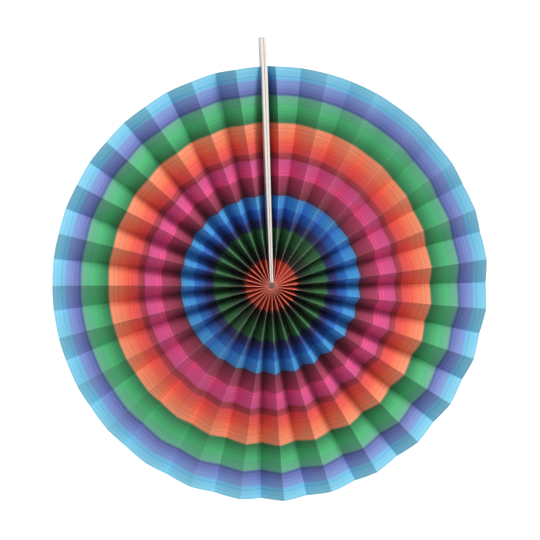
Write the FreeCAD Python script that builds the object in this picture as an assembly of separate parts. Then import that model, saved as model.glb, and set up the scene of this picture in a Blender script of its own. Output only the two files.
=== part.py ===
"""Paper fan rosette: one printed strip, pleated and opened into a full disc.

The strip's two ends are glued to two white cards, and a double-sided tape holds
the cards back to back. The cards stand edge on along the top radius and reach
past the rim as a tab with a punched hole, from which the rosette hangs.
A bead of glue fills the hub and holds the inner ends of the pleats.

Frame: origin at the centre of the hang hole, +Z up, printed front towards -Y.
Lengths are in millimetres.
"""
import FreeCAD
import Part
import math
import os

# Size of the opened disc
fan_radius = 152.4
rim_depth = 10.0
pleat_count = 27

# Paper, and the crease that holds two panels and the air between them
paper_thickness = 0.14
crease_width = 0.20

# Cards that close the disc: pressed thin at the hub, full at the end of the tab, and leaning back at the rim
card_hub_thickness = 0.9
card_tab_thickness = 2.0
card_lean = 4.0

# Tape and glue between them
tape_thickness = 0.25
tape_margin = 2.0
glue_thickness = 0.03

# Hang tab
tab_height = 20.0
tab_corner_radius = 5.0
hole_radius = 2.5
hole_below_top = 9.0

# Hub
hub_clearance = 0.05
hub_recess = 1.2
hub_dome = 0.8

# How uneven the pleats are at the rim: shares are of a regular panel
steep_share = 0.32
narrow_share = 0.72
top_opening = 0.02

# Width of the glued lap on the left card, where the strip ends part of the way across a panel
left_lap_width = 4.0

# Rings at which a panel turns from upright at the hub to nearly flat at the rim
ring_shares = (0.0, 0.25, 0.48, 0.68, 0.85, 1.0)

panel_total = 2 * pleat_count
glued_offset = tape_thickness / 2 + card_hub_thickness + glue_thickness + paper_thickness / 2
hub_radius = (panel_total * crease_width + math.pi * (glued_offset + crease_width / 2)) / (2 * math.pi)
card_length = fan_radius + tab_height - hub_radius
card_slope = (card_tab_thickness - card_hub_thickness) / card_length
hub_drop = fan_radius + tab_height - hole_below_top


def out_share(radius):
    """How far out a radius is: 0 at the hub, 1 at the rim and more on the tab."""
    return (radius - hub_radius) / (fan_radius - hub_radius)


# The hang hole is half way across the leaning cards, so the hub axis is forward of it
hub_forward = card_lean * out_share(hub_drop)


def spot(x, y, z):
    """A point given from the hub, in the frame of the hang hole."""
    return FreeCAD.Vector(x, y - hub_forward, z - hub_drop)


def glued_panel_angle(radius):
    """Angle from the middle of the cards to the glued panel, which lies on the sloping face of a card."""
    foot = glued_offset - card_slope * hub_radius
    rise = (math.sqrt(radius ** 2 * (1 + card_slope ** 2) - foot ** 2) - foot * card_slope) / (1 + card_slope ** 2)
    return math.atan2(foot + card_slope * rise, rise)


def panel_shares(radius):
    """Spread of each panel at a radius against a regular one: all alike at the hub, uneven at the rim."""
    turns = [2 * math.pi * (number + 0.5) / panel_total for number in range(panel_total)]
    rim_shares = [1 + top_opening * math.cos(turn) for turn in turns]
    rim_shares[0] = steep_share
    rim_shares[-2] = narrow_share
    return [1 + (share - 1) * out_share(radius) for share in rim_shares]


def first_fold_angle(radius):
    """Angle from the middle of the cards to the first fold, which is the same on both sides."""
    return glued_panel_angle(radius) + crease_width / 2 / radius


def regular_spread(radius):
    """Arc of a regular panel at a radius."""
    return radius * (2 * math.pi - 2 * first_fold_angle(radius)) / sum(panel_shares(radius))


# A panel keeps its width from hub to rim, and the cards are as deep as a panel is wide
panel_reach = math.hypot(regular_spread(fan_radius) - crease_width, rim_depth)
panel_width = panel_reach + crease_width


def fold_line(radius):
    """(arc, y) of each fold at a radius. A pleat that spreads gets shallower, because its panels keep their width."""
    folds = [(radius * first_fold_angle(radius), panel_width / 2 + card_lean * out_share(radius))]
    for number, share in enumerate(panel_shares(radius)):
        spread = regular_spread(radius) * share
        rise = math.sqrt(panel_reach ** 2 - (spread - crease_width) ** 2)
        arc, y = folds[-1]
        folds.append((arc + spread, y + rise if number % 2 else y - rise))
    return folds


def section(radius):
    """Middle line of the paper at a radius, as (arc, y) points from one free edge to the other."""
    folds = fold_line(radius)
    half_crease = crease_width / 2
    line = [(folds[0][0] - half_crease, folds[0][1] - panel_width)]
    for arc, y in folds:
        line.append((arc - half_crease, y))
        line.append((arc + half_crease, y))
    line.append((folds[-1][0] + half_crease, folds[-1][1] - left_lap_width))
    return line


def shifted(line, distance):
    """A line moved sideways by a distance, with mitred corners."""
    normals = []
    for (start_x, start_y), (end_x, end_y) in zip(line, line[1:]):
        length = math.hypot(end_x - start_x, end_y - start_y)
        normals.append(((start_y - end_y) / length, (end_x - start_x) / length))
    normals = [normals[0]] + normals + [normals[-1]]
    moved = []
    for (x, y), before, after in zip(line, normals, normals[1:]):
        across, along = before[0] + after[0], before[1] + after[1]
        scale = distance * 2 / (across ** 2 + along ** 2)
        moved.append((x + across * scale, y + along * scale))
    return moved


def paper_side(distance):
    """Points of one side of the paper, ring by ring from the hub to the rim."""
    rings = []
    for share in ring_shares:
        radius = hub_radius + (fan_radius - hub_radius) * share
        ring = []
        for arc, y in shifted(section(radius), distance):
            turn = arc / radius
            ring.append(spot(radius * math.sin(turn), y, radius * math.cos(turn)))
        rings.append(ring)
    return rings


def flat_faces(a, b, c, d):
    """The two flat triangles of a four-cornered patch."""
    return [Part.Face(Part.makePolygon([a, b, c, a])), Part.Face(Part.makePolygon([a, c, d, a]))]


def make_pleated_paper():
    front = paper_side(-paper_thickness / 2)
    back = paper_side(paper_thickness / 2)
    steps = range(len(front[0]) - 1)
    faces = []
    for side in (front, back):
        for inner, outer in zip(side, side[1:]):
            for i in steps:
                faces += flat_faces(inner[i], inner[i + 1], outer[i + 1], outer[i])
    for ring_front, ring_back in ((front[0], back[0]), (front[-1], back[-1])):
        for i in steps:
            faces += flat_faces(ring_front[i], ring_front[i + 1], ring_back[i + 1], ring_back[i])
    for end in (0, -1):
        for ring in range(len(front) - 1):
            faces += flat_faces(front[ring][end], front[ring + 1][end], back[ring + 1][end], back[ring][end])
    shell = Part.makeShell(faces)
    shell.sewShape()
    paper = Part.makeSolid(shell)
    if paper.Volume < 0:
        paper.reverse()
    return paper


def lean_at(height):
    """How far back the middle of the cards is at a height above the hub."""
    return card_lean * out_share(height)


def leaning_prism(outline, half_width):
    """A solid whose outline in x and z is drawn at its front and back, each point leaning back as the cards do."""
    ends = []
    for side in (-1, 1):
        corners = [spot(x, side * half_width + lean_at(z), z) for x, z in outline]
        ends.append(Part.makePolygon(corners + corners[:1]))
    return Part.makeLoft(ends, True, True)


def make_card(side):
    """One card of the pair: side is 1 for the right-hand card and -1 for the left-hand one."""
    inner_x = side * tape_thickness / 2
    bottom = hub_radius
    top = bottom + card_length
    outline = [
        (inner_x, bottom),
        (inner_x + side * card_hub_thickness, bottom),
        (inner_x + side * card_tab_thickness, top),
        (inner_x, top),
    ]
    card = leaning_prism(outline, panel_width / 2)
    tab_corners = [edge for edge in card.Edges
                   if abs(edge.BoundBox.XLength - card_tab_thickness) < 0.001
                   and edge.CenterOfMass.z > spot(0, 0, top).z - 1]
    card = card.makeFillet(tab_corner_radius, tab_corners)
    hole = Part.makeCylinder(hole_radius, card_tab_thickness + tape_thickness, FreeCAD.Vector(0, 0, 0),
                             FreeCAD.Vector(side, 0, 0))
    return card.cut(hole).Solids[0]


def make_tape():
    """Double-sided tape between the cards. It stops short of the rim, so that the hole stays clean."""
    half_thickness = tape_thickness / 2
    bottom = hub_radius + tape_margin
    top = fan_radius - tape_margin
    outline = [(-half_thickness, bottom), (half_thickness, bottom), (half_thickness, top), (-half_thickness, top)]
    return leaning_prism(outline, panel_width / 2 - tape_margin)


def make_hub_glue():
    """Bead of glue in the hub, a little shorter than the pleats are deep, with domed ends."""
    radius = hub_radius - hub_clearance
    end_y = panel_width / 2 - hub_recess
    edge_y = end_y - hub_dome
    dome_radius = (radius ** 2 + hub_dome ** 2) / (2 * hub_dome)
    middle_x = radius / 2
    middle_y = end_y - dome_radius + math.sqrt(dome_radius ** 2 - middle_x ** 2)
    back, back_middle, back_edge = spot(0, end_y, 0), spot(middle_x, middle_y, 0), spot(radius, edge_y, 0)
    front, front_middle, front_edge = spot(0, -end_y, 0), spot(middle_x, -middle_y, 0), spot(radius, -edge_y, 0)
    outline = Part.Wire([
        Part.Arc(back, back_middle, back_edge).toShape(),
        Part.makeLine(back_edge, front_edge),
        Part.Arc(front_edge, front_middle, front).toShape(),
        Part.makeLine(front, back),
    ])
    return Part.Face(outline).revolve(spot(0, 0, 0), FreeCAD.Vector(0, 1, 0), 360)


def main():
    os.makedirs("parts", exist_ok=True)
    parts = {
        "pleated_paper": make_pleated_paper(),
        "left_card": make_card(-1),
        "right_card": make_card(1),
        "card_tape": make_tape(),
        "hub_glue": make_hub_glue(),
    }
    for name, shape in parts.items():
        shape.exportStep(f"parts/{name}.step")
        print(name, shape.ShapeType, shape.isValid(), round(shape.Volume, 1), len(shape.Faces))


main()
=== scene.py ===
"""Looks of the paper fan rosette: its printed pleats, end cards, tape and glue, with light and camera.

The row frame is in metres, with the origin in the hang hole, +Z up and the front towards -Y.
Sizes below are in millimetres unless their name says otherwise.
"""
import bpy
import bmesh
import math
import random
from mathutils import Matrix, Vector


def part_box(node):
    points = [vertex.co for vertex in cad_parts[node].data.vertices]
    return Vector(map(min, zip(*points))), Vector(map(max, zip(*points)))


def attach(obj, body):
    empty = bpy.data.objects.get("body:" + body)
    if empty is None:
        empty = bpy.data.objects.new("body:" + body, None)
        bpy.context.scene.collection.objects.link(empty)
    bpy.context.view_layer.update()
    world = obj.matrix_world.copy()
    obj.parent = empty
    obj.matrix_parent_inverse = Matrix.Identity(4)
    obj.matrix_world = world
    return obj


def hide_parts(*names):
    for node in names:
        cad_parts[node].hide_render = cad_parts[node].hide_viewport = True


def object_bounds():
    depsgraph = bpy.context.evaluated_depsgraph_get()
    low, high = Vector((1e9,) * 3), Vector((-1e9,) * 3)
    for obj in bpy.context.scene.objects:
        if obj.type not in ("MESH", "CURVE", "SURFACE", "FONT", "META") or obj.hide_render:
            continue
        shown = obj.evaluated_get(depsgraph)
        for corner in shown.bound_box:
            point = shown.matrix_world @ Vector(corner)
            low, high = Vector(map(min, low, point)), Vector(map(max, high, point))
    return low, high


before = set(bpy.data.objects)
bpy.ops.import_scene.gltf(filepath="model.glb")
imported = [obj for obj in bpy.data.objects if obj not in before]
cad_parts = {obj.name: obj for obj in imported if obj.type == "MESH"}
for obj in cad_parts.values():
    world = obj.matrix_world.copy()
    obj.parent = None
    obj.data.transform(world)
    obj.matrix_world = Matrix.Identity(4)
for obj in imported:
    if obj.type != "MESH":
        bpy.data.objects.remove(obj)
cad_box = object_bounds()

MM = 0.001

# Places closer than this, in metres, are the same
SAME_PLACE_M = 1e-6

# Sizes of the disc and its paper
FAN_RADIUS = 152.4
PLEAT_COUNT = 27
PANEL_TOTAL = 2 * PLEAT_COUNT
PAPER_THICKNESS = 0.14
CREASE_WIDTH = 0.20
GLUE_THICKNESS = 0.03
RIM_DEPTH = 10.0

# Cards and tape
CARD_HUB_THICKNESS = 0.9
CARD_TAB_THICKNESS = 2.0
CARD_LEAN = 4.0
TAPE_THICKNESS = 0.25
TAB_CORNER_RADIUS = 5.0
HOLE_RADIUS = 2.5
PUNCH_LENGTH = 30.0
CARD_EDGE_SOFTENING = 0.22

# How uneven the pleats are at the rim: shares are of a regular panel
STEEP_SHARE = 0.32
NARROW_SHARE = 0.72
TOP_OPENING = 0.02
LEFT_LAP_WIDTH = 4.0

# Small accidents of the folding, which grow towards the rim: folds stray along the rim and in depth, and a
# panel bows, mostly to the front
FOLD_WANDER = 0.6
DEPTH_WANDER = 0.5
WANDER_GROWTH = 1.5
PANEL_BOW = 0.45
BOW_RANGE = (-0.6, 1.0)
BOW_GROWTH = 2

# One pleat near the bottom is pinched: how far its folds are moved along the rim and back, and the fold where
# its pull on the next ones ends
PINCHED_FOLDS = {27: (-0.4, -1.4), 28: (-3.2, 2.8), 29: (-4.8, 0.8)}
PINCH_END = 42

# Mesh of the paper: where the points of one panel lie across it, how many rings it has, and how much closer
# together these are near the hub
PANEL_STEPS = (0.0, 0.04, 0.22, 0.5, 0.78, 0.96, 1.0)
RING_COUNT = 41
RING_CROWDING = 1.15

# Bead of glue. Its dome, as shares of its radius: rings, their width, how much the first one rises, and how
# much less each next one does. Its ends are lumpy by a share of its length, and each pleat dents it
DOME_RINGS = 5
DOME_RING_WIDTH = 0.17
DOME_FIRST_RISE = 0.10
DOME_RISE_LOSS = 0.02
BEAD_LOBES = 3
BEAD_LUMP = 0.015
BEAD_DENT = 0.04
BEAD_SEED = 4

# Camera and light, seen from the middle of the object
CAMERA_DISTANCE_M = 2.2
CAMERA_AZIMUTH = -4.5
CAMERA_ELEVATION = 5.5
CAMERA_ROLL = -1.8
OBJECT_SHARE = 0.86
KEY_TURN = 39.0
KEY_RAISE = 40.0
KEY_SOFTNESS = 26.0
KEY_ENERGY = 2.6
FRONT_ENERGY = 1.3
BACK_ENERGY = 1.0
FRONT_TOWARDS = (-0.1, -1, 0.2)
BACK_TOWARDS = (0.4, 1, 0.4)
WIDE_SOFTNESS = 40.0
FILL_STRENGTH = 0.17

# Pale floor that curves up into a wall, in metres
FLOOR_DROP_M = 1.0
FLOOR_FLAT_RADIUS_M = 2.6
FLOOR_CURVE_RADIUS_M = 1.2
WALL_RISE_M = 1.35
CURVE_STEPS = 14

card_low, card_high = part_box("right_card")
GLUED_OFFSET = TAPE_THICKNESS / 2 + CARD_HUB_THICKNESS + GLUE_THICKNESS + PAPER_THICKNESS / 2
HUB_RADIUS = (PANEL_TOTAL * CREASE_WIDTH + math.pi * (GLUED_OFFSET + CREASE_WIDTH / 2)) / (2 * math.pi)
CARD_SLOPE = (CARD_TAB_THICKNESS - CARD_HUB_THICKNESS) / ((card_high.z - card_low.z) / MM)


def out_share(radius):
    """How far out a radius is: 0 at the hub, 1 at the rim and more on the tab."""
    return (radius - HUB_RADIUS) / (FAN_RADIUS - HUB_RADIUS)


def first_fold_angle(radius):
    """Angle from the middle of the cards to the first fold, past the panel glued to a card's sloping face."""
    foot = GLUED_OFFSET - CARD_SLOPE * HUB_RADIUS
    stretch = 1 + CARD_SLOPE ** 2
    rise = (math.sqrt(radius ** 2 * stretch - foot ** 2) - foot * CARD_SLOPE) / stretch
    return math.atan2(foot + CARD_SLOPE * rise, rise) + CREASE_WIDTH / 2 / radius


def panel_shares(radius):
    """Spread of each panel at a radius against a regular one: all alike at the hub, uneven at the rim."""
    turns = [2 * math.pi * (number + 0.5) / PANEL_TOTAL for number in range(PANEL_TOTAL)]
    rim_shares = [1 + TOP_OPENING * math.cos(turn) for turn in turns]
    rim_shares[0] = STEEP_SHARE
    rim_shares[-2] = NARROW_SHARE
    return [1 + (share - 1) * out_share(radius) for share in rim_shares]


def regular_spread(radius):
    """Arc of a regular panel at a radius."""
    return radius * (2 * math.pi - 2 * first_fold_angle(radius)) / sum(panel_shares(radius))


PANEL_REACH = math.hypot(regular_spread(FAN_RADIUS) - CREASE_WIDTH, RIM_DEPTH)
PANEL_WIDTH = PANEL_REACH + CREASE_WIDTH

# Middle of the hub in the row frame
HUB_Z = card_low.z / MM - HUB_RADIUS
HUB_Y = -CARD_LEAN * out_share(-HUB_Z)


def fold_line(radius):
    """(arc, y) of each fold at a radius. A pleat that spreads gets shallower: its panels keep their width."""
    folds = [(radius * first_fold_angle(radius), PANEL_WIDTH / 2 + CARD_LEAN * out_share(radius))]
    for number, share in enumerate(panel_shares(radius)):
        spread = regular_spread(radius) * share
        rise = math.sqrt(PANEL_REACH ** 2 - (spread - CREASE_WIDTH) ** 2)
        arc, y = folds[-1]
        folds.append((arc + spread, y + rise if number % 2 else y - rise))
    return folds


# Threads of the printed weave, how far they move the edge of a band, and the blur of that edge as a share of
# the disc's radius
THREAD_SPACING = 1.1
BAND_WOBBLE = 1.6
BAND_BLUR = 0.0022

# Pale line on a front fold, partly ink cracked at the fold and partly a painted highlight of the ridge: full
# to the first distance from it and gone at the second
WEAR_AND_HIGHLIGHT_WIDTH = 0.20
WEAR_AND_HIGHLIGHT_END = 0.44
WEAR_AND_HIGHLIGHT_GRAIN = 2.2

# Grain of the paper, coarse because real fibres are too fine to show, and pressed layers of the card
PAPER_GRAIN = 0.9
LAYER_SPACING = 0.45

# Printed bands as shares of the disc's radius, with one of painted shade: inner edge, outer edge, colour at
# each
PRINT_AND_PAINTED_SHADE_BANDS = (
    (0.000, 0.118, "#F46C50", "#F46848"),
    # Near-black ring: painted shade of the deep valleys at the hub
    (0.118, 0.146, "#6A2C20", "#1E2014"),
    (0.146, 0.190, "#1A3A20", "#23562F"),
    (0.190, 0.262, "#2A6E3C", "#3E8450"),
    (0.262, 0.306, "#2C2C68", "#343E8A"),
    (0.306, 0.350, "#285EB0", "#327AD2"),
    (0.350, 0.410, "#48A4EA", "#4CA6E6"),
    (0.410, 0.430, "#6A3650", "#8A3A50"),
    (0.430, 0.504, "#963A52", "#B84870"),
    (0.504, 0.578, "#EC5A9A", "#CE5894"),
    (0.578, 0.610, "#A03E4E", "#B44858"),
    (0.610, 0.668, "#E25456", "#EE6A58"),
    (0.668, 0.742, "#EE7858", "#F29A78"),
    (0.742, 0.762, "#357E52", "#38875C"),
    (0.762, 0.815, "#368E5E", "#50BA7C"),
    (0.815, 0.868, "#50B67E", "#6CAE96"),
    (0.868, 0.884, "#54689E", "#5C70A6"),
    (0.884, 0.942, "#6C72BC", "#80A2DC"),
    (0.942, 1.001, "#6ABAE2", "#86D0EE"),
)


def select_only(piece):
    """Deselects everything else, so that an operator acts on one piece."""
    bpy.ops.object.select_all(action="DESELECT")
    piece.select_set(True)
    bpy.context.view_layer.objects.active = piece


def new_piece(name):
    """The primitive that was just added, under its own name."""
    piece = bpy.context.object
    piece.name = name
    piece.data.name = name
    return piece


def settle(piece):
    """Puts the piece's place into its mesh, so that the object sits at the origin."""
    select_only(piece)
    bpy.ops.object.transform_apply(location=True, rotation=True, scale=True)


def apply_modifier(piece, kind, **settings):
    """Adds one modifier to the piece and applies it."""
    select_only(piece)
    modifier = piece.modifiers.new(kind.title(), kind)
    for name, value in settings.items():
        setattr(modifier, name, value)
    bpy.ops.object.modifier_apply(modifier=modifier.name)


def smooth(piece, degrees):
    """Shades the piece smooth where its faces meet at less than this angle."""
    select_only(piece)
    bpy.ops.object.shade_smooth_by_angle(angle=math.radians(degrees))


def linear(colour):
    """An sRGB hex colour as linear RGBA."""
    channels = [int(colour[i:i + 2], 16) / 255 for i in (1, 3, 5)]
    return [c / 12.92 if c <= 0.04045 else ((c + 0.055) / 1.055) ** 2.4 for c in channels] + [1.0]


def add_node(material, kind, settings=None, inputs=None, stops=None):
    """Adds a shader node, sets its properties and (place, hex colour) stops, and sets or links its inputs."""
    node = material.node_tree.nodes.new(kind)
    for name, value in (settings or {}).items():
        setattr(node, name, value)
    for name, value in (inputs or {}).items():
        if isinstance(value, bpy.types.NodeSocket):
            material.node_tree.links.new(value, node.inputs[name])
        else:
            node.inputs[name].default_value = value
    if stops:
        elements = node.color_ramp.elements
        while len(elements) > 1:
            elements.remove(elements[-1])
        elements[0].position = stops[0][0]
        elements[0].color = linear(stops[0][1])
        for place, colour in stops[1:]:
            elements.new(place).color = linear(colour)
    return node


def new_material(name, shader_inputs):
    """A material with its principled shader's own values set, and that shader."""
    material = bpy.data.materials.new(name)
    material.use_nodes = True
    shader = material.node_tree.nodes["Principled BSDF"]
    for socket, value in shader_inputs.items():
        shader.inputs[socket].default_value = value
    return material, shader


def print_and_painted_shade(material, out):
    """Colour of the print and of a ring of painted shade near the hub, whose bands run along the strip: it
    depends only on how far out a point is.
    """
    radius = add_node(material, "ShaderNodeMath", {"operation": "MULTIPLY_ADD"}, {
        0: out,
        1: FAN_RADIUS - HUB_RADIUS,
        2: HUB_RADIUS,
    })
    threads = add_node(material, "ShaderNodeTexNoise", {"noise_dimensions": "1D"}, {
        "W": radius.outputs[0],
        "Scale": 1 / THREAD_SPACING,
        "Detail": 2.0,
        "Roughness": 0.6,
    })
    wobble = add_node(material, "ShaderNodeMath", {"operation": "MULTIPLY_ADD"}, {
        0: threads.outputs["Fac"],
        1: BAND_WOBBLE,
        2: -BAND_WOBBLE / 2,
    })
    moved = add_node(material, "ShaderNodeMath", {"operation": "ADD"}, {
        0: radius.outputs[0],
        1: wobble.outputs[0],
    })
    share = add_node(material, "ShaderNodeMath", {"operation": "DIVIDE"}, {
        0: moved.outputs[0],
        1: FAN_RADIUS,
    })

    # Two ramps, one inside the other, because the bands have more stops than one ramp holds
    half = len(PRINT_AND_PAINTED_SHADE_BANDS) // 2
    ramps = []
    for bands in (PRINT_AND_PAINTED_SHADE_BANDS[:half], PRINT_AND_PAINTED_SHADE_BANDS[half:]):
        stops = []
        for inner, outer, inner_colour, outer_colour in bands:
            stops.append((inner + BAND_BLUR, inner_colour))
            stops.append((min(outer - BAND_BLUR, 1.0), outer_colour))
        ramps.append(add_node(material, "ShaderNodeValToRGB", inputs={"Fac": share.outputs[0]}, stops=stops))
    outside = add_node(material, "ShaderNodeMath", {"operation": "GREATER_THAN"}, {
        0: share.outputs[0],
        1: PRINT_AND_PAINTED_SHADE_BANDS[half][0],
    })
    colour = add_node(material, "ShaderNodeMix", {"data_type": "RGBA"}, {
        0: outside.outputs[0],
        6: ramps[0].outputs["Color"],
        7: ramps[1].outputs["Color"],
    })

    # Darker and lighter threads within each band
    thread_tone = add_node(material, "ShaderNodeMapRange", inputs={
        "Value": threads.outputs["Fac"],
        "From Min": 0.3,
        "From Max": 0.7,
        "To Min": 0.86,
        "To Max": 1.10,
    })
    toned = add_node(material, "ShaderNodeVectorMath", {"operation": "SCALE"}, {
        0: colour.outputs[2],
        "Scale": thread_tone.outputs["Result"],
    })
    return toned.outputs["Vector"]


def fold_wear_and_highlight(material, spot, along, out):
    """How pale each front fold is painted, partly for ink cracked at the fold and partly as a painted
    highlight of the ridge: broken up and strongest near the hub.
    """
    to_ridge = add_node(material, "ShaderNodeMath", {"operation": "PINGPONG"}, {
        0: along,
        1: 1.0,
    })
    line = add_node(material, "ShaderNodeMapRange", inputs={
        "Value": to_ridge.outputs[0],
        "From Min": WEAR_AND_HIGHLIGHT_WIDTH / PANEL_WIDTH,
        "From Max": WEAR_AND_HIGHLIGHT_END / PANEL_WIDTH,
        "To Min": 1.0,
        "To Max": 0.0,
    })
    fade = add_node(material, "ShaderNodeMapRange", inputs={
        "Value": out,
        "From Min": 0.04,
        "From Max": 0.30,
        "To Min": 0.24,
        "To Max": 0.03,
    })
    crackle = add_node(material, "ShaderNodeTexNoise", inputs={
        "Vector": spot,
        "Scale": 1 / (WEAR_AND_HIGHLIGHT_GRAIN * MM),
        "Detail": 3.0,
        "Roughness": 0.7,
    })
    broken = add_node(material, "ShaderNodeMapRange", inputs={
        "Value": crackle.outputs["Fac"],
        "From Min": 0.35,
        "From Max": 0.62,
        "To Min": 0.35,
        "To Max": 1.0,
    })
    wear_and_highlight_line = add_node(material, "ShaderNodeMath", {"operation": "MULTIPLY"}, {
        0: line.outputs["Result"],
        1: fade.outputs["Result"],
    })
    broken_wear_and_highlight = add_node(material, "ShaderNodeMath", {"operation": "MULTIPLY"}, {
        0: wear_and_highlight_line.outputs[0],
        1: broken.outputs["Result"],
    })
    return broken_wear_and_highlight.outputs[0]


def printed_paper_material():
    """Offset-printed coated paper: matte ink in woven-looking steps with a ring of painted shade near the
    hub, pale along each front fold, where the ink has cracked and a highlight of the ridge is painted.
    """
    material, shader = new_material("printed_paper", {
        "Roughness": 0.62,
        "Specular IOR Level": 0.35,
        "Sheen Weight": 0.06,
    })
    links = material.node_tree.links
    spot = add_node(material, "ShaderNodeTexCoord").outputs["Object"]

    # Place on the strip: along it in panels, and out from its inner edge as a share of its width
    strip = add_node(material, "ShaderNodeUVMap", {"uv_map": "strip"})
    place = add_node(material, "ShaderNodeSeparateXYZ", inputs={"Vector": strip.outputs["UV"]})
    along, out = place.outputs["X"], place.outputs["Y"]
    # Front folds paled: partly cracked ink, partly a painted highlight of the ridge
    worn_and_highlit = add_node(material, "ShaderNodeMix", {"data_type": "RGBA"}, {
        0: fold_wear_and_highlight(material, spot, along, out),
        6: print_and_painted_shade(material, out),
        7: linear("#E9DCD2"),
    })
    links.new(worn_and_highlit.outputs[2], shader.inputs["Base Color"])

    # Paper grain
    grain = add_node(material, "ShaderNodeTexNoise", inputs={
        "Vector": spot,
        "Scale": 1 / (PAPER_GRAIN * MM),
        "Detail": 4.0,
        "Roughness": 0.55,
    })
    bump = add_node(material, "ShaderNodeBump", inputs={
        "Height": grain.outputs["Fac"],
        "Strength": 0.35,
        "Distance": 0.06 * MM,
    })
    links.new(bump.outputs["Normal"], shader.inputs["Normal"])
    return material


def paper_core_material():
    """Cut edge of the paper: white uncoated pulp, rougher than the print."""
    material, shader = new_material("paper_cut_edge", {"Roughness": 0.9, "Specular IOR Level": 0.2})
    pulp = add_node(material, "ShaderNodeTexNoise", inputs={
        "Vector": add_node(material, "ShaderNodeTexCoord").outputs["Object"],
        "Scale": 1 / (1.2 * MM),
        "Detail": 2.0,
    })
    tone = add_node(material, "ShaderNodeValToRGB", inputs={"Fac": pulp.outputs["Fac"]}, stops=[
        (0.3, "#D8DCE4"),
        (0.7, "#F0F0EE"),
    ])
    material.node_tree.links.new(tone.outputs["Color"], shader.inputs["Base Color"])
    return material


def white_card_material():
    """Thick greyboard lined with white paper: clean faces, and edges that show the pressed layers."""
    material, shader = new_material("white_card", {"Roughness": 0.72, "Specular IOR Level": 0.3})
    links = material.node_tree.links
    spot = add_node(material, "ShaderNodeTexCoord").outputs["Object"]
    place = add_node(material, "ShaderNodeSeparateXYZ", inputs={"Vector": spot})
    # The layers run the length of the card, so they change only across it
    layers = add_node(material, "ShaderNodeTexNoise", {"noise_dimensions": "1D"}, {
        "W": place.outputs["X"],
        "Scale": 1 / (LAYER_SPACING * MM),
        "Detail": 1.0,
    })
    speckle = add_node(material, "ShaderNodeTexNoise", inputs={
        "Vector": spot,
        "Scale": 1 / (2.5 * MM),
        "Detail": 4.0,
        "Roughness": 0.6,
    })
    mixed = add_node(material, "ShaderNodeMix", {"data_type": "FLOAT"}, {
        0: 0.35,
        2: layers.outputs["Fac"],
        3: speckle.outputs["Fac"],
    })
    tone = add_node(material, "ShaderNodeValToRGB", inputs={"Fac": mixed.outputs[0]}, stops=[
        (0.30, "#DFD8D3"),
        (0.48, "#EEE9E5"),
        (0.70, "#F5F2EF"),
    ])
    links.new(tone.outputs["Color"], shader.inputs["Base Color"])
    bump = add_node(material, "ShaderNodeBump", inputs={
        "Height": mixed.outputs[0],
        "Strength": 0.4,
        "Distance": 0.08 * MM,
    })
    links.new(bump.outputs["Normal"], shader.inputs["Normal"])
    return material


def tape_material():
    """Double-sided tissue tape: cloudy, slightly yellow film with a soft shine."""
    material, shader = new_material("double_sided_tape", {"Roughness": 0.38, "IOR": 1.47})
    cloud = add_node(material, "ShaderNodeTexNoise", inputs={
        "Vector": add_node(material, "ShaderNodeTexCoord").outputs["Object"],
        "Scale": 1 / (3.0 * MM),
        "Detail": 3.0,
    })
    tone = add_node(material, "ShaderNodeValToRGB", inputs={"Fac": cloud.outputs["Fac"]}, stops=[
        (0.3, "#D6CDB8"),
        (0.7, "#ECE6D6"),
    ])
    material.node_tree.links.new(tone.outputs["Color"], shader.inputs["Base Color"])
    return material


def hub_glue_material():
    """Hot-melt glue: a cloudy plastic that has set with a wet shine, pale with patches of a reddish tint."""
    material, shader = new_material("hot_melt_glue", {
        "Roughness": 0.22,
        "IOR": 1.48,
        "Subsurface Weight": 0.35,
        "Subsurface Scale": 1.5 * MM,
        "Subsurface Radius": (1.0, 0.7, 0.6),
        "Coat Weight": 0.25,
        "Coat Roughness": 0.12,
    })
    cloud = add_node(material, "ShaderNodeTexNoise", inputs={
        "Vector": add_node(material, "ShaderNodeTexCoord").outputs["Object"],
        "Scale": 1 / (1.6 * MM),
        "Detail": 3.0,
    })
    tone = add_node(material, "ShaderNodeValToRGB", inputs={"Fac": cloud.outputs["Fac"]}, stops=[
        (0.32, "#C07A6E"),
        (0.52, "#E2C6BC"),
        (0.7, "#F4ECE6"),
    ])
    material.node_tree.links.new(tone.outputs["Color"], shader.inputs["Base Color"])
    return material


def stage_material():
    """Plain pale studio floor."""
    material, shader = new_material("pale_floor", {"Roughness": 0.95, "Specular IOR Level": 0.1})
    shader.inputs["Base Color"].default_value = linear("#FBFAF8")
    return material


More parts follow.
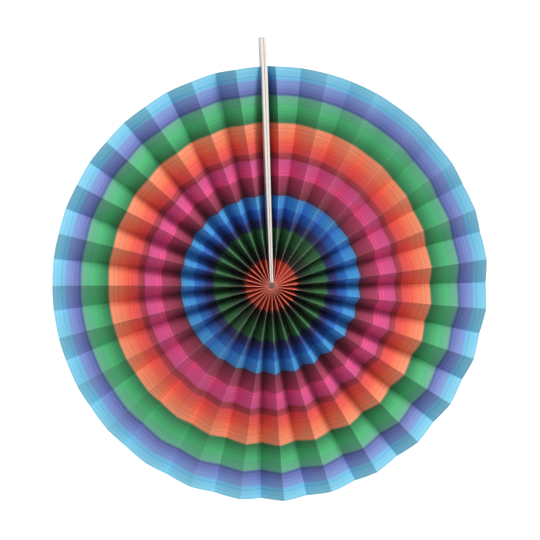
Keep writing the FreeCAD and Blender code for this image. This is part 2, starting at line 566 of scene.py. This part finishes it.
def make_pleated_paper():
    """The printed strip, folded into pleats and opened into a disc."""
    chance = random.Random(PLEAT_COUNT)
    inner_folds = range(3, PANEL_TOTAL - 3)
    wander = {number: chance.uniform(-FOLD_WANDER, FOLD_WANDER) for number in inner_folds}
    sink = {number: chance.uniform(-DEPTH_WANDER, DEPTH_WANDER) for number in inner_folds}
    bows = [chance.uniform(*BOW_RANGE) * PANEL_BOW for panel in range(PANEL_TOTAL + 2)]
    for number, (along_rim, back) in PINCHED_FOLDS.items():
        wander[number] += along_rim
        sink[number] += back
    last = max(PINCHED_FOLDS)
    for number in range(last + 1, PINCH_END):
        wander[number] += PINCHED_FOLDS[last][0] * (PINCH_END - number) / (PINCH_END - last)
    panel_points = len(PANEL_STEPS)
    columns = panel_points * (PANEL_TOTAL + 2)

    bpy.ops.object.select_all(action="DESELECT")
    bpy.ops.mesh.primitive_grid_add(x_subdivisions=columns - 1, y_subdivisions=RING_COUNT - 1, size=1)
    paper = new_piece("printed_pleats")
    paper.data.uv_layers[0].name = "strip"

    rings = []
    for ring in range(RING_COUNT):
        radius = HUB_RADIUS + (FAN_RADIUS - HUB_RADIUS) * (ring / (RING_COUNT - 1)) ** RING_CROWDING
        out = out_share(radius)
        stray = out ** WANDER_GROWTH
        folds = [
            (arc + wander.get(number, 0) * stray, depth + sink.get(number, 0) * stray)
            for number, (arc, depth) in enumerate(fold_line(radius))
        ]
        rings.append((radius, out, folds))

    def strip_point(column, ring):
        """Where a point of the mesh lies on the disc, and where on the strip."""
        panel, step = divmod(column, panel_points)
        radius, out, folds = rings[ring]
        half = CREASE_WIDTH / 2
        if panel == 0:
            start = (folds[0][0] - half, folds[0][1] - PANEL_WIDTH)
        else:
            start = (folds[panel - 1][0] + half, folds[panel - 1][1])
        if panel == PANEL_TOTAL + 1:
            end = (folds[-1][0] + half, folds[-1][1] - LEFT_LAP_WIDTH)
        else:
            end = (folds[panel][0] - half, folds[panel][1])
        along = PANEL_STEPS[step]
        bow = 0 if panel in (0, 1, PANEL_TOTAL, PANEL_TOTAL + 1) else bows[panel]
        lift = bow * math.sin(math.pi * along) * out ** BOW_GROWTH
        arc = start[0] + (end[0] - start[0]) * along
        y = start[1] + (end[1] - start[1]) * along - lift
        turn = arc / radius
        place = Vector((radius * math.sin(turn), y + HUB_Y, radius * math.cos(turn) + HUB_Z)) * MM
        return place, (panel + along, out)

    spots = {}
    for vertex in paper.data.vertices:
        column = round((vertex.co.x + 0.5) * (columns - 1))
        ring = round((vertex.co.y + 0.5) * (RING_COUNT - 1))
        vertex.co, spots[vertex.index] = strip_point(column, ring)
    uv = paper.data.uv_layers["strip"].data
    for loop in paper.data.loops:
        uv[loop.index].uv = spots[loop.vertex_index]

    paper.data.materials.append(printed_paper_material())
    paper.data.materials.append(paper_core_material())
    apply_modifier(paper, "SOLIDIFY", thickness=PAPER_THICKNESS * MM, offset=0, use_even_offset=False,
                   use_rim=True, material_offset_rim=1)
    smooth(paper, 28)
    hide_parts("pleated_paper")
    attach(paper, "root")


def make_card(node, side):
    """One thick end card, with rounded tab corners, a punched hole and softened edges."""
    low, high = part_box(node)
    bpy.ops.object.select_all(action="DESELECT")
    middle = (low + high) / 2
    size = high - low
    bpy.ops.mesh.primitive_cube_add(size=1, location=(middle.x, HUB_Y * MM, middle.z),
                                    scale=(size.x, PANEL_WIDTH * MM, size.z))
    card = new_piece(node + "_board")
    settle(card)

    # The card is pressed thin at the hub, and leans back towards the rim
    outer_x = high.x if side > 0 else low.x
    for vertex in card.data.vertices:
        if abs(vertex.co.x - outer_x) < SAME_PLACE_M and vertex.co.z < low.z + SAME_PLACE_M:
            vertex.co.x -= side * (CARD_TAB_THICKNESS - CARD_HUB_THICKNESS) * MM
        vertex.co.y += CARD_LEAN * out_share(vertex.co.z / MM - HUB_Z) * MM

    # Rounded corners at the end of the tab
    select_only(card)
    bpy.ops.object.mode_set(mode="EDIT")
    bpy.ops.mesh.select_all(action="DESELECT")
    shape = bmesh.from_edit_mesh(card.data)
    for edge in shape.edges:
        first, second = (vertex.co for vertex in edge.verts)
        at_top = min(first.z, second.z) > high.z - SAME_PLACE_M
        edge.select = at_top and abs(first.y - second.y) < SAME_PLACE_M
    bmesh.update_edit_mesh(card.data)
    bpy.ops.mesh.bevel(offset=TAB_CORNER_RADIUS * MM, segments=12, affect="EDGES")
    bpy.ops.object.mode_set(mode="OBJECT")

    # Punched hang hole
    bpy.ops.object.select_all(action="DESELECT")
    bpy.ops.mesh.primitive_cylinder_add(vertices=48, radius=HOLE_RADIUS * MM, depth=PUNCH_LENGTH * MM,
                                        rotation=(0, math.pi / 2, 0))
    punch = new_piece("punch")
    settle(punch)
    apply_modifier(card, "BOOLEAN", operation="DIFFERENCE", object=punch, solver="EXACT")
    bpy.data.objects.remove(punch)
    apply_modifier(card, "BEVEL", width=CARD_EDGE_SOFTENING * MM, segments=3, limit_method="ANGLE",
                   angle_limit=math.radians(40))
    smooth(card, 35)
    card.data.materials.append(white_card_material())
    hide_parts(node)
    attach(card, "root")


def make_hub_glue():
    """The bead of glue in the hub: domed ends, lumpy where it met the pleats."""
    low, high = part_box("hub_glue")
    middle = (low + high) / 2
    half = (high - low) / 2
    bpy.ops.object.select_all(action="DESELECT")
    bpy.ops.mesh.primitive_cylinder_add(vertices=PANEL_TOTAL, radius=half.x, depth=2 * half.y,
                                        location=middle, rotation=(math.pi / 2, 0, 0), end_fill_type="NGON")
    bead = new_piece("hub_bead")
    settle(bead)
    select_only(bead)
    bpy.ops.object.mode_set(mode="EDIT")
    for side in (-1, 1):
        bpy.ops.mesh.select_all(action="DESELECT")
        shape = bmesh.from_edit_mesh(bead.data)
        for face in shape.faces:
            face.select = face.normal.y * side > 0.9
        bmesh.update_edit_mesh(bead.data)
        for ring in range(DOME_RINGS):
            rise = DOME_FIRST_RISE - DOME_RISE_LOSS * ring
            bpy.ops.mesh.inset(thickness=half.x * DOME_RING_WIDTH, depth=half.x * rise)
    bpy.ops.object.mode_set(mode="OBJECT")
    far = max(abs(vertex.co.y) for vertex in bead.data.vertices)
    chance = random.Random(BEAD_SEED)
    phase = [chance.uniform(0, 2 * math.pi) for lobe in range(BEAD_LOBES)]
    for vertex in bead.data.vertices:
        from_axis = vertex.co - middle
        turn = math.atan2(from_axis.x, from_axis.z)
        spread = math.hypot(from_axis.x, from_axis.z) / half.x
        lump = sum(math.sin((lobe + 2) * turn + phase[lobe]) for lobe in range(BEAD_LOBES)) / BEAD_LOBES
        vertex.co.y *= half.y / far * (1 - BEAD_LUMP * lump * spread)
        shrink = 1 - BEAD_DENT * (1 + math.cos(PLEAT_COUNT * turn)) / 2
        vertex.co.x = middle.x + from_axis.x * shrink
        vertex.co.z = middle.z + from_axis.z * shrink
    smooth(bead, 50)
    bead.data.materials.append(hub_glue_material())
    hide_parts("hub_glue")
    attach(bead, "root")


def dress_tape():
    """The tape keeps its plain shape, a flat strip between the cards."""
    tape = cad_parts["card_tape"]
    tape.data.materials.clear()
    tape.data.materials.append(tape_material())


def make_stage(low, high):
    """A round pale floor that curves up into a wall far outside the object."""
    floor_z = low.z - FLOOR_DROP_M
    bpy.ops.object.select_all(action="DESELECT")
    bpy.ops.mesh.primitive_circle_add(vertices=96, radius=FLOOR_FLAT_RADIUS_M, fill_type="NGON",
                                      location=(0, 0, floor_z))
    floor = new_piece("floor")
    settle(floor)
    select_only(floor)
    bpy.ops.object.mode_set(mode="EDIT")
    bpy.ops.mesh.select_mode(type="EDGE")
    rings = []
    for step in range(1, CURVE_STEPS + 1):
        turn = math.pi / 2 * step / CURVE_STEPS
        ring_radius = FLOOR_FLAT_RADIUS_M + FLOOR_CURVE_RADIUS_M * math.sin(turn)
        rings.append((ring_radius, FLOOR_CURVE_RADIUS_M * (1 - math.cos(turn))))
    rings.append((FLOOR_FLAT_RADIUS_M + FLOOR_CURVE_RADIUS_M, high.z + WALL_RISE_M - floor_z))
    radius, height = FLOOR_FLAT_RADIUS_M, 0.0
    for next_radius, next_height in rings:
        bpy.ops.mesh.select_all(action="DESELECT")
        shape = bmesh.from_edit_mesh(floor.data)
        for edge in shape.edges:
            edge.select = edge.is_boundary
        bmesh.update_edit_mesh(floor.data)
        bpy.ops.mesh.extrude_edges_move(TRANSFORM_OT_translate={"value": (0, 0, next_height - height)})
        grow = next_radius / radius
        bpy.ops.transform.resize(value=(grow, grow, 1), center_override=(0, 0, floor_z))
        radius, height = next_radius, next_height
    bpy.ops.object.mode_set(mode="OBJECT")
    smooth(floor, 60)
    floor.data.materials.append(stage_material())


def add_sun(name, towards, energy, softness, colour):
    """A soft distant light that shines from a direction."""
    data = bpy.data.lights.new(name, "SUN")
    data.energy = energy
    data.angle = math.radians(softness)
    data.color = linear(colour)[:3]
    sun = bpy.data.objects.new(name, data)
    sun.rotation_euler = towards.to_track_quat("Z", "Y").to_euler()
    bpy.context.scene.collection.objects.link(sun)


def make_light():
    """Soft key light from the upper right, softer ones from front and back, and pale light all round."""
    turn = math.radians(KEY_TURN)
    raise_angle = math.radians(KEY_RAISE)
    towards = Vector((math.cos(raise_angle) * math.sin(turn), -math.sin(raise_angle),
                      math.cos(raise_angle) * math.cos(turn)))
    add_sun("key", towards, KEY_ENERGY, KEY_SOFTNESS, "#FFFBF4")
    add_sun("front", Vector(FRONT_TOWARDS), FRONT_ENERGY, WIDE_SOFTNESS, "#F8FAFF")
    add_sun("back", Vector(BACK_TOWARDS), BACK_ENERGY, WIDE_SOFTNESS, "#F8FAFF")
    world = bpy.data.worlds.new("studio")
    world.use_nodes = True
    background = world.node_tree.nodes["Background"]
    background.inputs["Color"].default_value = linear("#F6F8FC")
    background.inputs["Strength"].default_value = FILL_STRENGTH
    bpy.context.scene.world = world


def make_camera(low, high):
    """The photograph's viewing angle, with the object large in the frame."""
    middle = (low + high) / 2
    azimuth = math.radians(CAMERA_AZIMUTH)
    elevation = math.radians(CAMERA_ELEVATION)
    away = Vector((math.cos(elevation) * math.sin(azimuth), -math.cos(elevation) * math.cos(azimuth),
                   math.sin(elevation)))
    data = bpy.data.cameras.new("camera")
    data.sensor_width = 36
    data.lens = data.sensor_width * OBJECT_SHARE * CAMERA_DISTANCE_M / (high.z - low.z)
    camera = bpy.data.objects.new("camera", data)
    place = Matrix.Translation(middle + away * CAMERA_DISTANCE_M)
    aim = away.to_track_quat("Z", "Y").to_matrix().to_4x4()
    roll = Matrix.Rotation(math.radians(CAMERA_ROLL), 4, "Z")
    camera.matrix_world = place @ aim @ roll
    bpy.context.scene.collection.objects.link(camera)
    bpy.context.scene.camera = camera


def main():
    low, high = (Vector(corner) for corner in cad_box)
    bpy.context.scene.view_settings.view_transform = "Standard"
    make_camera(low, high)
    make_light()
    make_stage(low, high)
    make_pleated_paper()
    make_card("left_card", -1)
    make_card("right_card", 1)
    make_hub_glue()
    dress_tape()


main()
